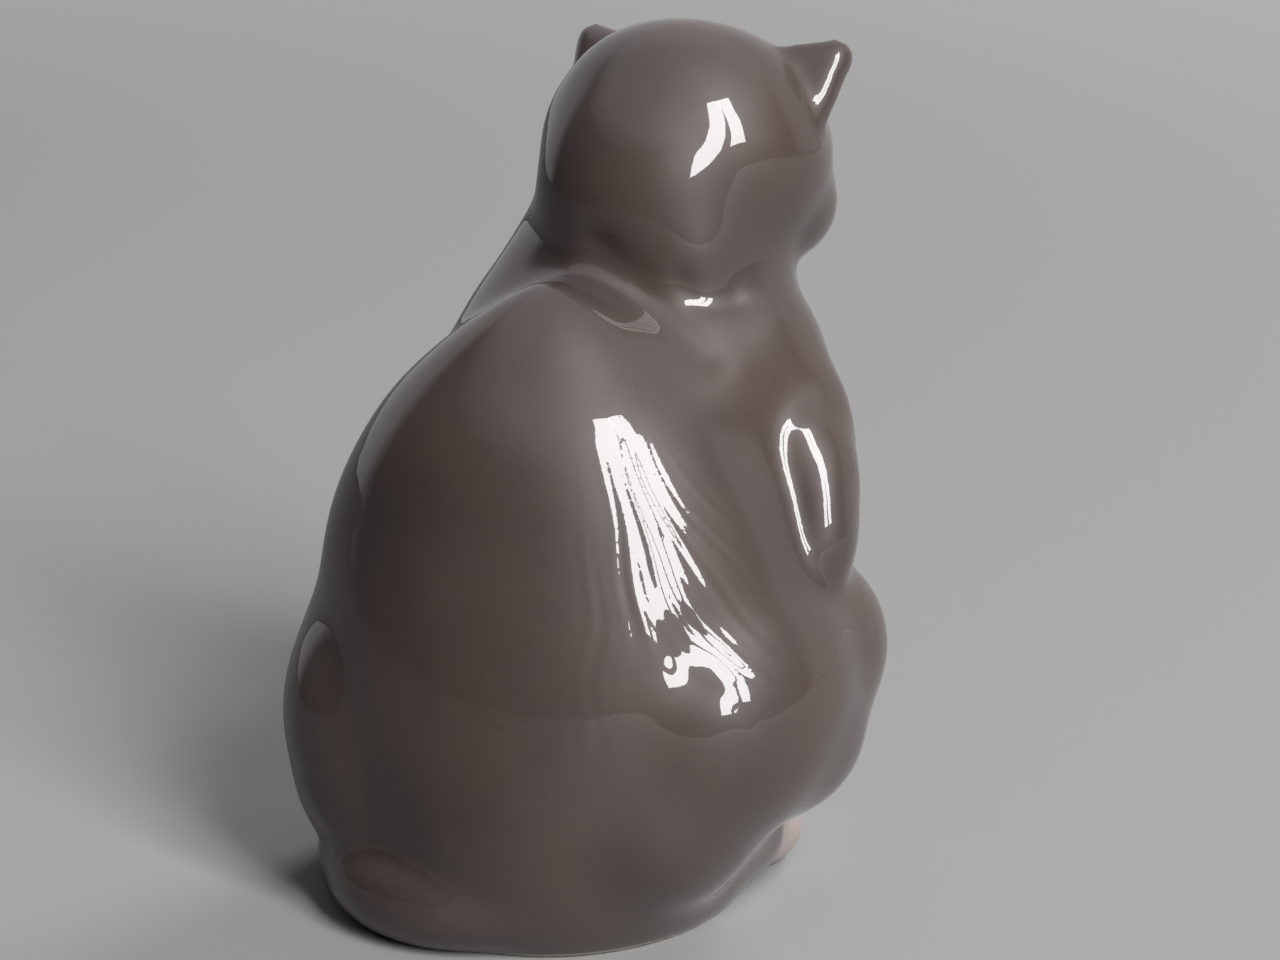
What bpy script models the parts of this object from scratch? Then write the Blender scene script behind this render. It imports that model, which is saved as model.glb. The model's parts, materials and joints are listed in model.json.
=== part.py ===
"""A seated cat figurine in porcelain, slip cast in one hollow piece.

Metres, +Z up. The cat faces -Y and its left side is +X. The origin is on the table, under the
middle of the figure. The outside is shaped as a modeller shapes clay: rounded masses are pushed
together, fused into one skin and smoothed, in three rounds from the trunk to the features. The
hollow that slip casting leaves, the recessed foot and the vent hole are then cut out of it.
"""

import math
from typing import NamedTuple

import bmesh
import bpy
from mathutils import Matrix, Vector

# The cast wall, the foot it stands on and the hole that let the slip drain
WALL = 0.0045
FOOT_RING_WIDTH = 0.006
FOOT_RECESS = 0.002
VENT_DIAMETER = 0.008
VENT_AT = (0.0, 0.004)

# Where the head sits, and how it is turned and bowed, in degrees
HEAD_AT = Vector((-0.0052, -0.036, 0.150))
HEAD_TURN = 2.0
HEAD_NOD = 20.0


class Mass(NamedTuple):
    """A rounded lump: its centre, its full width, depth and height, and its lean in degrees.
    A positive nod tips the top towards the cat's front, a positive roll towards its right."""

    at: tuple
    size: tuple
    nod: float = 0.0
    roll: float = 0.0


# The back from the table to its hump, and the neck from the breast to the skull, as level oval
# sections: z, x, y, half width and half depth
BACK = (
    (-0.003, 0.000, 0.004, 0.0325, 0.0390),
    (0.000, 0.000, 0.004, 0.0350, 0.0410),
    (0.003, 0.000, 0.004, 0.0365, 0.0430),
    (0.010, 0.000, 0.004, 0.0385, 0.0465),
    (0.024, 0.000, 0.003, 0.0450, 0.0500),
    (0.040, 0.000, 0.002, 0.0520, 0.0510),
    (0.056, 0.001, 0.001, 0.0550, 0.0500),
    (0.072, 0.003, 0.001, 0.0528, 0.0460),
    (0.084, 0.004, 0.001, 0.0490, 0.0415),
    (0.096, 0.004, 0.002, 0.0425, 0.0365),
    (0.106, 0.004, 0.003, 0.0350, 0.0305),
    (0.115, 0.004, 0.005, 0.0250, 0.0226),
    (0.122, 0.003, 0.007, 0.0165, 0.0158),
    (0.128, 0.002, 0.008, 0.0080, 0.0082),
    (0.1305, 0.002, 0.008, 0.0030, 0.0030),
)
NECK = (
    (0.060, 0.0000, -0.018, 0.0330, 0.0260),
    (0.080, 0.0000, -0.022, 0.0365, 0.0310),
    (0.094, -0.0010, -0.0150, 0.0385, 0.0425),
    (0.104, 0.0000, -0.0170, 0.0390, 0.0390),
    (0.112, 0.0008, -0.0200, 0.0380, 0.0360),
    (0.120, 0.0010, -0.0250, 0.0350, 0.0315),
    (0.130, 0.0010, -0.0315, 0.0310, 0.0270),
    (0.138, 0.0000, -0.0345, 0.0280, 0.0255),
    (0.145, -0.0020, -0.0360, 0.0260, 0.0240),
    (0.152, -0.0050, -0.036, 0.0200, 0.0180),
)

# Pairs, given for the cat's left side and mirrored to the right
SHOULDER = Mass(at=(0.0215, -0.025, 0.101), size=(0.0400, 0.046, 0.056), nod=6, roll=-10)
UPPER_ARM = Mass(at=(0.0410, -0.019, 0.086), size=(0.0220, 0.024, 0.056), nod=24, roll=4)
RUMP = Mass(at=(0.0240, 0.018, 0.030), size=(0.0500, 0.052, 0.052))
THIGH = Mass(at=(0.0400, -0.006, 0.0395), size=(0.0400, 0.046, 0.042))
HAUNCH = Mass(at=(0.0335, 0.004, 0.048), size=(0.0540, 0.072, 0.060), nod=-24)
KNEE = Mass(at=(0.0410, -0.018, 0.052), size=(0.0370, 0.042, 0.042), nod=10)

# What fills out the left side, on which the cat leans a little
LEFT_RUMP = Mass(at=(0.0290, 0.021, 0.029), size=(0.0500, 0.054, 0.052))
LEFT_HIP = Mass(at=(0.0345, 0.008, 0.042), size=(0.0510, 0.078, 0.062), nod=-20)


def mirrored(mass):
    """The same mass on the cat's other side."""
    x, y, z = mass.at
    return Mass((-x, y, z), mass.size, mass.nod, -mass.roll)


# Limbs, as stations of x, y, z and radius along a smooth line
FORELEG = (
    (0.028, -0.026, 0.066, 0.0140),
    (0.020, -0.036, 0.044, 0.0115),
    (0.014, -0.042, 0.022, 0.0098),
    (0.0125, -0.045, 0.010, 0.0095),
)
HIND_FOOT = (
    (0.029, 0.004, 0.010, 0.0100),
    (0.029, -0.012, 0.009, 0.0092),
    (0.028, -0.024, 0.008, 0.0086),
)
TAIL = (
    (-0.006, 0.0380, 0.0110, 0.0115),
    (0.008, 0.0445, 0.0095, 0.0103),
    (0.021, 0.0430, 0.0086, 0.0096),
    (0.033, 0.0345, 0.0080, 0.0091),
    (0.043, 0.0210, 0.0076, 0.0088),
    (0.048, 0.0040, 0.0074, 0.0086),
    (0.047, -0.0140, 0.0072, 0.0083),
    (0.042, -0.0300, 0.0068, 0.0079),
    (0.033, -0.0440, 0.0062, 0.0073),
    (0.022, -0.0525, 0.0058, 0.0068),
    (0.011, -0.0570, 0.0052, 0.0061),
)
FORE_PAW = Mass(at=(0.0125, -0.0490, 0.0068), size=(0.0205, 0.0250, 0.0165))
HIND_PAW = Mass(at=(0.0270, -0.0265, 0.0062), size=(0.0195, 0.0260, 0.0155))

# The head, in its own frame: x to the cat's left, -y to its nose, z to its crown
SKULL = Mass(at=(0, -0.0010, 0.0000), size=(0.0630, 0.0610, 0.0540))
NAPE = Mass(at=(0.0010, 0.0040, -0.0080), size=(0.0540, 0.0560, 0.0670))
CROWN = Mass(at=(0, -0.0010, 0.0080), size=(0.0560, 0.0580, 0.0400))
BROW = Mass(at=(0, -0.013, 0.004), size=(0.050, 0.036, 0.036))
CHEEK = Mass(at=(0.0145, -0.013, -0.006), size=(0.029, 0.032, 0.028))
SNOUT = Mass(at=(0, -0.0250, -0.0105), size=(0.0280, 0.0260, 0.0210))
NOSE_BRIDGE = Mass(at=(0, -0.0275, 0.0000), size=(0.0110, 0.0180, 0.0220), nod=30)
MUZZLE = Mass(at=(0.0056, -0.0335, -0.0120), size=(0.0130, 0.0120, 0.0105))
NOSE = Mass(at=(0, -0.0375, -0.0060), size=(0.0070, 0.0060, 0.0048))
CHIN = Mass(at=(0, -0.0320, -0.0180), size=(0.0125, 0.0110, 0.0075))
EYE = Mass(at=(0.0125, -0.0262, 0.0012), size=(0.0130, 0.0100, 0.0080), roll=-14)

# Ears, as three balls a side whose hull is the ear, and the hollow in front of each:
# x, y, z and radius
EAR = (
    (0.0135, -0.0010, 0.0185, 0.0044),
    (0.0266, 0.0000, 0.0060, 0.0036),
    (0.0286, -0.0045, 0.0230, 0.0038),
)
EAR_HOLLOW = (
    (0.0175, -0.0072, 0.0205, 0.0030),
    (0.0262, -0.0070, 0.0115, 0.0030),
    (0.0278, -0.0060, 0.0215, 0.0020),
)

# Cube sizes and smoothing passes of the three rounds
TRUNK_VOXEL, TRUNK_PASSES = 0.0020, 30
LIMB_VOXEL, LIMB_PASSES = 0.0015, 14
FEATURE_VOXEL, FEATURE_PASSES = 0.0010, 6
MAX_OUTER_FACES = 9400
MAX_INNER_FACES = 1600


def clear_scene():
    for obj in list(bpy.data.objects):
        bpy.data.objects.remove(obj)


def add_mass(bm, mass, frame=None):
    """Adds a mass to bm as an ellipsoid."""
    turn = Matrix.Rotation(math.radians(mass.nod), 4, "X") @ Matrix.Rotation(math.radians(-mass.roll), 4, "Y")
    matrix = Matrix.Translation(mass.at) @ turn @ Matrix.Diagonal((*mass.size, 1))
    bmesh.ops.create_icosphere(bm, subdivisions=4, radius=0.5, matrix=(frame or Matrix()) @ matrix)


def add_pair(bm, mass, frame=None):
    add_mass(bm, mass, frame)
    add_mass(bm, mirrored(mass), frame)


def smooth_line(stations, step):
    """Stations read off a Catmull-Rom curve through the given ones, at most a step apart."""
    points = [Vector(p) for p in stations]
    points = [2 * points[0] - points[1], *points, 2 * points[-1] - points[-2]]
    line = []
    for before, start, end, after in zip(points, points[1:], points[2:], points[3:]):
        count = max(1, math.ceil((end - start).length / step))
        for i in range(count):
            t = i / count
            line.append(
                0.5
                * (
                    2 * start
                    + (end - before) * t
                    + (2 * before - 5 * start + 4 * end - after) * t * t
                    + (3 * start - before - 3 * end + after) * t * t * t
                )
            )
    return line + [points[-2]]


def add_loft(bm, sections, sides=64):
    """Adds a closed skin through level oval sections to bm."""
    rings = []
    for z, x, y, half_width, half_depth in smooth_line(sections, step=0.002):
        turns = [2 * math.pi * i / sides for i in range(sides)]
        points = [(x + half_width * math.cos(t), y + half_depth * math.sin(t), z) for t in turns]
        rings.append([bm.verts.new(point) for point in points])
    for lower, upper in zip(rings, rings[1:]):
        for i in range(sides):
            j = (i + 1) % sides
            bm.faces.new((lower[i], lower[j], upper[j], upper[i]))
    bm.faces.new(reversed(rings[0]))
    bm.faces.new(rings[-1])


def add_limb(bm, stations, side=1):
    """Adds a limb to bm as a run of close balls along a smooth line."""
    for x, y, z, radius in smooth_line(stations, step=0.002):
        matrix = Matrix.Translation((side * x, y, z))
        bmesh.ops.create_icosphere(bm, subdivisions=3, radius=radius, matrix=matrix)


def settle(obj):
    """Replaces an object's mesh by what its modifiers make of it."""
    graph = bpy.context.evaluated_depsgraph_get()
    mesh = bpy.data.meshes.new_from_object(obj.evaluated_get(graph))
    obj.modifiers.clear()
    obj.data = mesh
    return obj


def make_object(name, bm):
    mesh = bpy.data.meshes.new(name)
    bm.to_mesh(mesh)
    bm.free()
    obj = bpy.data.objects.new(name, mesh)
    bpy.context.scene.collection.objects.link(obj)
    return obj


def fuse(name, bm, voxel, passes):
    """An object whose skin wraps all the shapes in bm, smoothed where they meet."""
    obj = make_object(name, bm)
    wrap = obj.modifiers.new("wrap", "REMESH")
    wrap.mode = "VOXEL"
    wrap.voxel_size = voxel
    melt = obj.modifiers.new("melt", "SMOOTH")
    melt.factor = 0.5
    melt.iterations = passes
    return settle(obj)


def cut(obj, cutter):
    """Cuts one object out of another, and drops the cutter."""
    cuts = obj.modifiers.new("cut", "BOOLEAN")
    cuts.operation = "DIFFERENCE"
    cuts.solver = "EXACT"
    cuts.object = cutter
    settle(obj)
    bpy.data.objects.remove(cutter)
    return obj


def add_clay(bm, obj):
    """Adds an object's skin to bm, and drops the object."""
    bm.from_mesh(obj.data)
    bpy.data.objects.remove(obj)


def clay_from(obj):
    bm = bmesh.new()
    add_clay(bm, obj)
    return bm


def make_hull(name, balls, frame, side):
    """The convex hull of some balls."""
    bm = bmesh.new()
    for x, y, z, radius in balls:
        matrix = frame @ Matrix.Translation((side * x, y, z))
        bmesh.ops.create_icosphere(bm, subdivisions=3, radius=radius, matrix=matrix)
    made = bmesh.ops.convex_hull(bm, input=bm.verts)
    inside = [e for e in made["geom_interior"] if isinstance(e, bmesh.types.BMVert)]
    bmesh.ops.delete(bm, geom=inside, context="VERTS")
    return make_object(name, bm)


def make_drum(name, at, half_width, half_depth, bottom, top, sides=48):
    """An upright oval drum."""
    bm = bmesh.new()
    middle = Matrix.Translation((*at, (bottom + top) / 2))
    size = Matrix.Diagonal((half_width, half_depth, top - bottom, 1))
    bmesh.ops.create_cone(
        bm, cap_ends=True, segments=sides, radius1=1, radius2=1, depth=1, matrix=middle @ size
    )
    return make_object(name, bm)


def model_trunk(frame):
    bm = bmesh.new()
    add_loft(bm, BACK)
    add_loft(bm, NECK)
    for mass in (SHOULDER, UPPER_ARM, RUMP, HAUNCH, THIGH, KNEE):
        add_pair(bm, mass)
    for mass in (LEFT_RUMP, LEFT_HIP):
        add_mass(bm, mass)
    for mass in (SKULL, NAPE, CROWN):
        add_mass(bm, mass, frame)
    return fuse("trunk", bm, TRUNK_VOXEL, TRUNK_PASSES)


def model_limbs(trunk, frame):
    bm = clay_from(trunk)
    for side in (1, -1):
        add_limb(bm, FORELEG, side)
        add_limb(bm, HIND_FOOT, side)
    add_limb(bm, TAIL)
    for mass in (BROW, SNOUT, NOSE_BRIDGE):
        add_mass(bm, mass, frame)
    add_pair(bm, CHEEK, frame)
    return fuse("limbs", bm, LIMB_VOXEL, LIMB_PASSES)


def model_features(limbs, frame):
    bm = clay_from(limbs)
    for mass in (FORE_PAW, HIND_PAW):
        add_pair(bm, mass)
    for mass in (MUZZLE, EYE):
        add_pair(bm, mass, frame)
    for mass in (NOSE, CHIN):
        add_mass(bm, mass, frame)
    for side in (1, -1):
        ear = make_hull("ear", EAR, frame, side)
        add_clay(bm, cut(ear, make_hull("ear hollow", EAR_HOLLOW, frame, side)))
    return fuse("features", bm, FEATURE_VOXEL, FEATURE_PASSES)


def head_frame():
    turn = Matrix.Rotation(math.radians(-HEAD_TURN), 4, "Z")
    nod = Matrix.Rotation(math.radians(HEAD_NOD), 4, "X")
    return Matrix.Translation(HEAD_AT) @ turn @ nod


def thin(obj, faces):
    """Joins the faces of an object's skin until about so many triangles are left."""
    few = obj.modifiers.new("thin", "DECIMATE")
    few.ratio = faces / sum(len(p.vertices) - 2 for p in obj.data.polygons)
    few.use_collapse_triangulate = True
    return settle(obj)


def model_hollow(trunk):
    """What the drained slip leaves empty: the trunk, a wall's thickness inside its skin."""
    hollow = bpy.data.objects.new("hollow", trunk.data.copy())
    bpy.context.scene.collection.objects.link(hollow)
    inset = hollow.modifiers.new("inset", "DISPLACE")
    inset.mid_level = 0
    inset.strength = -WALL
    wrap = hollow.modifiers.new("wrap", "REMESH")
    wrap.mode = "VOXEL"
    wrap.voxel_size = TRUNK_VOXEL
    thin(settle(hollow), MAX_INNER_FACES)
    floor = make_drum("floor", VENT_AT, 0.2, 0.2, -0.05, FOOT_RECESS + WALL, sides=4)
    return cut(hollow, floor)


def model_outside():
    """The figure with its foot left uncut, and the hollow that fits inside it."""
    frame = head_frame()
    trunk = model_trunk(frame)
    hollow = model_hollow(trunk)
    return model_features(model_limbs(trunk, frame), frame), hollow


def glaze():
    material = bpy.data.materials.new("grey-brown glaze")
    material.use_nodes = True
    shader = material.node_tree.nodes["Principled BSDF"]
    shader.inputs["Base Color"].default_value = (0.14, 0.11, 0.10, 1)
    shader.inputs["Roughness"].default_value = 0.07
    shader.inputs["Metallic"].default_value = 0.0
    return material


def put_on_origin(obj):
    """Moves an object so that the middle of its box's underside is the origin."""
    corners = [Vector(corner) for corner in obj.bound_box]
    low = Vector(min(c[i] for c in corners) for i in range(3))
    high = Vector(max(c[i] for c in corners) for i in range(3))
    obj.data.transform(Matrix.Translation((-(low.x + high.x) / 2, -(low.y + high.y) / 2, -low.z)))


def main():
    clear_scene()
    cat, hollow = model_outside()
    thin(cat, MAX_OUTER_FACES)
    cut(cat, make_drum("table", VENT_AT, 0.2, 0.2, -0.05, 0, sides=4))
    z, x, y, half_width, half_depth = BACK[1]
    opening = (half_width - FOOT_RING_WIDTH, half_depth - FOOT_RING_WIDTH)
    cut(cat, make_drum("recess", (x, y), *opening, -0.01, FOOT_RECESS))
    cut(cat, hollow)
    vent = VENT_DIAMETER / 2
    cut(cat, make_drum("vent", VENT_AT, vent, vent, -0.01, FOOT_RECESS + WALL + 0.004, sides=24))
    cat.name = "cat"
    cat.data.materials.append(glaze())
    put_on_origin(cat)


if __name__ == "__main__":
    main()
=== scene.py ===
"""The looks of the seated porcelain cat: its skin at full fineness, its glaze and a plain studio.

The skin is built from the same rounded masses as the solid, at a finer grain. Then it gets what
the solid leaves out: lids, brow lines, nostrils, mouth, toes, soft folds and the shallow flutes
of the coat.
"""

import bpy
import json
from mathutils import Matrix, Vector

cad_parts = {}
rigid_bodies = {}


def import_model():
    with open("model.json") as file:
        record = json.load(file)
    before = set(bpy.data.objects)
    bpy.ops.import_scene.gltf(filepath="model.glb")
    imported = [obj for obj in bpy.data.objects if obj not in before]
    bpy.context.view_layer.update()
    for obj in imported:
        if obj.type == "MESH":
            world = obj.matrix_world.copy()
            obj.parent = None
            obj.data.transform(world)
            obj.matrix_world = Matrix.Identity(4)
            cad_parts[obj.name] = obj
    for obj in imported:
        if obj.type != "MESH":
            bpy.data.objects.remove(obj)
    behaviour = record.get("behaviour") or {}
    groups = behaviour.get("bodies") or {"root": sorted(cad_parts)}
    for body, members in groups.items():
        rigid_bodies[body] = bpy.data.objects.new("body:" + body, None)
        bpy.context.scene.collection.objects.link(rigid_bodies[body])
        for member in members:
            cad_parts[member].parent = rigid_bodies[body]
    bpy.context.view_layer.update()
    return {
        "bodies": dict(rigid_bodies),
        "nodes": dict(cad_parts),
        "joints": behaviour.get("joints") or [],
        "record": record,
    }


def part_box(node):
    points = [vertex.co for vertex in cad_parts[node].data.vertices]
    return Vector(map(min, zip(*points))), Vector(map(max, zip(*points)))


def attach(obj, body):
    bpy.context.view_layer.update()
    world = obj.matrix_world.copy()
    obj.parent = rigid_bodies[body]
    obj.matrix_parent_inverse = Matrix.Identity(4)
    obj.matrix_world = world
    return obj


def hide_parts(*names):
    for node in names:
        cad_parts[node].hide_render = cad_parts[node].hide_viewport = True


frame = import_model()

import json
import math
from typing import NamedTuple

import bmesh
import bpy
import numpy as np
from mathutils import Matrix, Vector
from mathutils.bvhtree import BVHTree


class Mass(NamedTuple):
    """A rounded lump: its centre, its full width, depth and height, and its lean in degrees.
    A positive nod tips the top towards the cat's front, a positive roll towards its right."""

    at: tuple
    size: tuple
    nod: float = 0.0
    roll: float = 0.0


class Patch(NamedTuple):
    """A stretch of skin that is split finer: its middle, its reach each way, and how many times."""

    at: tuple
    reach: tuple
    rounds: int


class Dab(NamedTuple):
    """Where a thumb pressed the clay or added some: the place, how wide, and how far it rises."""

    at: tuple
    width: float
    rise: float


class Fold(NamedTuple):
    """A soft crease, or a ridge where its depth is negative: where it runs, its width and depth."""

    points: tuple
    width: float
    depth: float


class Stroke(NamedTuple):
    """A line drawn in the clay, as points of x and z seen from the front of its frame."""

    points: tuple
    width: float
    depth: float


class Oval(NamedTuple):
    """A painted region: its middle and its reach each way."""

    at: tuple
    reach: tuple


class Pane(NamedTuple):
    """A lit panel: where it stands, seen from the cat in degrees, its size in metres and its watts."""

    name: str
    azimuth: float
    elevation: float
    width: float
    height: float
    power: float


# The cast wall, the foot it stands on and the hole that let the slip drain
WALL = 0.0045
FOOT_RING_WIDTH = 0.006
FOOT_RECESS = 0.002
VENT_DIAMETER = 0.008
VENT_AT = (0.0, 0.004)
VENT_OVERRUN = 0.004

# Cutters reach well past the figure: sideways, below the table and below the foot
TABLE_HALF_WIDTH = 0.2
TABLE_BOTTOM = -0.05
UNDER_FOOT = -0.01

# Where the head sits, and how it is turned and bowed, in degrees
HEAD_AT = Vector((-0.0052, -0.036, 0.150))
HEAD_TURN = 2.0
HEAD_NOD = 20.0

# The back from the table to its hump, as level oval sections: z, x, y, half width and half depth
BACK = (
    (-0.003, 0.000, 0.004, 0.0325, 0.0390),
    (0.000, 0.000, 0.004, 0.0350, 0.0410),
    (0.003, 0.000, 0.004, 0.0365, 0.0430),
    (0.010, 0.000, 0.004, 0.0385, 0.0465),
    (0.024, 0.000, 0.003, 0.0450, 0.0500),
    (0.040, 0.000, 0.002, 0.0520, 0.0510),
    (0.056, 0.001, 0.001, 0.0550, 0.0500),
    (0.072, 0.003, 0.001, 0.0528, 0.0460),
    (0.084, 0.004, 0.001, 0.0490, 0.0415),
    (0.096, 0.004, 0.002, 0.0425, 0.0365),
    (0.106, 0.004, 0.003, 0.0350, 0.0305),
    (0.115, 0.004, 0.005, 0.0250, 0.0226),
    (0.122, 0.003, 0.007, 0.0165, 0.0158),
    (0.128, 0.002, 0.008, 0.0080, 0.0082),
    (0.1305, 0.002, 0.008, 0.0030, 0.0030),
)

# The section that stands on the table
FOOT_SECTION = BACK[1]

# The neck from the breast to the skull, in the same way
NECK = (
    (0.060, 0.0000, -0.018, 0.0330, 0.0260),
    (0.080, 0.0000, -0.022, 0.0365, 0.0310),
    (0.094, -0.0010, -0.0150, 0.0385, 0.0425),
    (0.104, 0.0000, -0.0170, 0.0390, 0.0390),
    (0.112, 0.0008, -0.0200, 0.0380, 0.0360),
    (0.120, 0.0010, -0.0250, 0.0350, 0.0315),
    (0.130, 0.0010, -0.0315, 0.0310, 0.0270),
    (0.138, 0.0000, -0.0345, 0.0280, 0.0255),
    (0.145, -0.0020, -0.0360, 0.0260, 0.0240),
    (0.152, -0.0050, -0.036, 0.0200, 0.0180),
)

# Pairs, given for the cat's left side and mirrored to the right
SHOULDER = Mass(at=(0.0215, -0.025, 0.101), size=(0.0400, 0.046, 0.056), nod=6, roll=-10)
UPPER_ARM = Mass(at=(0.0410, -0.019, 0.086), size=(0.0220, 0.024, 0.056), nod=24, roll=4)
RUMP = Mass(at=(0.0240, 0.018, 0.030), size=(0.0500, 0.052, 0.052))
THIGH = Mass(at=(0.0400, -0.006, 0.0395), size=(0.0400, 0.046, 0.042))
HAUNCH = Mass(at=(0.0335, 0.004, 0.048), size=(0.0540, 0.072, 0.060), nod=-24)
KNEE = Mass(at=(0.0410, -0.018, 0.052), size=(0.0370, 0.042, 0.042), nod=10)

# What fills out the left side, on which the cat leans a little
LEFT_RUMP = Mass(at=(0.0290, 0.021, 0.029), size=(0.0500, 0.054, 0.052))
LEFT_HIP = Mass(at=(0.0345, 0.008, 0.042), size=(0.0510, 0.078, 0.062), nod=-20)

# The edge of the upper arm, kept crisper than the other masses, so it joins in with the limbs
ELBOW = Mass(at=(0.0480, -0.0135, 0.0790), size=(0.0130, 0.0180, 0.0440), nod=24, roll=2)

# Limbs, as stations of x, y, z and radius along a smooth line
FORELEG = (
    (0.028, -0.026, 0.066, 0.0140),
    (0.020, -0.036, 0.044, 0.0115),
    (0.014, -0.042, 0.022, 0.0098),
    (0.0125, -0.045, 0.010, 0.0095),
)
HIND_FOOT = (
    (0.029, 0.004, 0.010, 0.0100),
    (0.029, -0.012, 0.009, 0.0092),
    (0.028, -0.024, 0.008, 0.0086),
)
TAIL = (
    (-0.006, 0.0380, 0.0110, 0.0115),
    (0.008, 0.0445, 0.0095, 0.0103),
    (0.021, 0.0430, 0.0086, 0.0096),
    (0.033, 0.0345, 0.0080, 0.0091),
    (0.043, 0.0210, 0.0076, 0.0088),
    (0.048, 0.0040, 0.0074, 0.0086),
    (0.047, -0.0140, 0.0072, 0.0083),
    (0.042, -0.0300, 0.0068, 0.0079),
    (0.033, -0.0440, 0.0062, 0.0073),
    (0.022, -0.0525, 0.0058, 0.0068),
    (0.011, -0.0570, 0.0052, 0.0061),
)
FORE_PAW = Mass(at=(0.0125, -0.0490, 0.0068), size=(0.0205, 0.0250, 0.0165))
HIND_PAW = Mass(at=(0.0270, -0.0265, 0.0062), size=(0.0195, 0.0260, 0.0155))

# The head, in its own frame: x to the cat's left, -y to its nose, z to its crown
SKULL = Mass(at=(0, -0.0010, 0.0000), size=(0.0630, 0.0610, 0.0540))
NAPE = Mass(at=(0.0010, 0.0040, -0.0080), size=(0.0540, 0.0560, 0.0670))
CROWN = Mass(at=(0, -0.0010, 0.0080), size=(0.0560, 0.0580, 0.0400))
BROW = Mass(at=(0, -0.013, 0.004), size=(0.050, 0.036, 0.036))
CHEEK = Mass(at=(0.0145, -0.013, -0.006), size=(0.029, 0.032, 0.028))
SNOUT = Mass(at=(0, -0.0250, -0.0105), size=(0.0280, 0.0260, 0.0210))
NOSE_BRIDGE = Mass(at=(0, -0.0275, 0.0000), size=(0.0110, 0.0180, 0.0220), nod=30)
MUZZLE = Mass(at=(0.0056, -0.0335, -0.0120), size=(0.0130, 0.0120, 0.0105))
NOSE = Mass(at=(0, -0.0375, -0.0060), size=(0.0070, 0.0060, 0.0048))
CHIN = Mass(at=(0, -0.0320, -0.0180), size=(0.0125, 0.0110, 0.0075))
EYE = Mass(at=(0.0125, -0.0262, 0.0012), size=(0.0130, 0.0100, 0.0084), roll=14)

# Ears, as three balls a side whose hull is the ear, and the hollow in front of each:
# x, y, z and radius
EAR = (
    (0.0135, -0.0010, 0.0185, 0.0044),
    (0.0266, 0.0000, 0.0060, 0.0036),
    (0.0286, -0.0045, 0.0230, 0.0038),
)
EAR_HOLLOW = (
    (0.0175, -0.0072, 0.0205, 0.0030),
    (0.0262, -0.0070, 0.0115, 0.0030),
    (0.0278, -0.0060, 0.0215, 0.0020),
)

# How far apart the rings of the back and the neck are, and the balls of a limb
RING_STEP = 0.002
BALL_STEP = 0.002

# Cube sizes and smoothing passes of the three rounds, and how far each pass goes
TRUNK_VOXEL, TRUNK_PASSES = 0.0020, 30
LIMB_VOXEL, LIMB_PASSES = 0.0015, 14
FEATURE_VOXEL, FEATURE_PASSES = 0.00125, 5
PATCH_PASSES = 3
SMOOTHING = 0.5
MAX_INNER_FACES = 1600
SHARP_ANGLE = 50.0

# Where the skin is split finer, in the head's frame and in the figure's
FACE_PATCHES = (Patch(at=(0, -0.031, -0.003), reach=(0.021, 0.014, 0.017), rounds=2),)
BODY_PATCHES = (
    Patch(at=(-0.026, 0.034, 0.079), reach=(0.030, 0.026, 0.034), rounds=1),
    Patch(at=(0.0125, -0.057, 0.007), reach=(0.0120, 0.009, 0.010), rounds=1),
    Patch(at=(-0.0125, -0.057, 0.007), reach=(0.0120, 0.009, 0.010), rounds=1),
    Patch(at=(0.0270, -0.036, 0.006), reach=(0.0115, 0.008, 0.010), rounds=1),
    Patch(at=(-0.0270, -0.036, 0.006), reach=(0.0115, 0.008, 0.010), rounds=1),
)

# A facet on the right of the back and one on the right haunch, a fuller left rump, a dip over it
# and a fuller nape
DABS = (
    Dab(at=(-0.0254, 0.0273, 0.0970), width=0.012, rise=-0.0010),
    Dab(at=(-0.0400, 0.0315, 0.0645), width=0.008, rise=-0.0005),
    Dab(at=(0.0300, 0.0450, 0.0440), width=0.013, rise=0.0013),
    Dab(at=(0.0330, 0.0340, 0.0770), width=0.014, rise=-0.0012),
    Dab(at=(-0.0215, -0.0094, 0.1328), width=0.008, rise=0.0018),
)

# The crease from the nape to the right shoulder, the one under the head, and a ridge down the back
# of the right upper arm
FOLDS = (
    Fold(
        points=((-0.0030, -0.0018, 0.1350), (-0.0142, -0.0023, 0.1255), (-0.0271, -0.0009, 0.1158)),
        width=0.0045,
        depth=0.0012,
    ),
    Fold(
        points=((-0.0190, -0.0060, 0.1290), (-0.0231, -0.0079, 0.1250), (-0.0275, -0.0130, 0.1245)),
        width=0.0030,
        depth=0.0008,
    ),
    Fold(
        points=(
            (-0.0440, -0.0130, 0.0982),
            (-0.0460, -0.0112, 0.0920),
            (-0.0478, -0.0098, 0.0858),
            (-0.0495, -0.0095, 0.0785),
        ),
        width=0.0065,
        depth=-0.0024,
    ),
)

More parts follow.
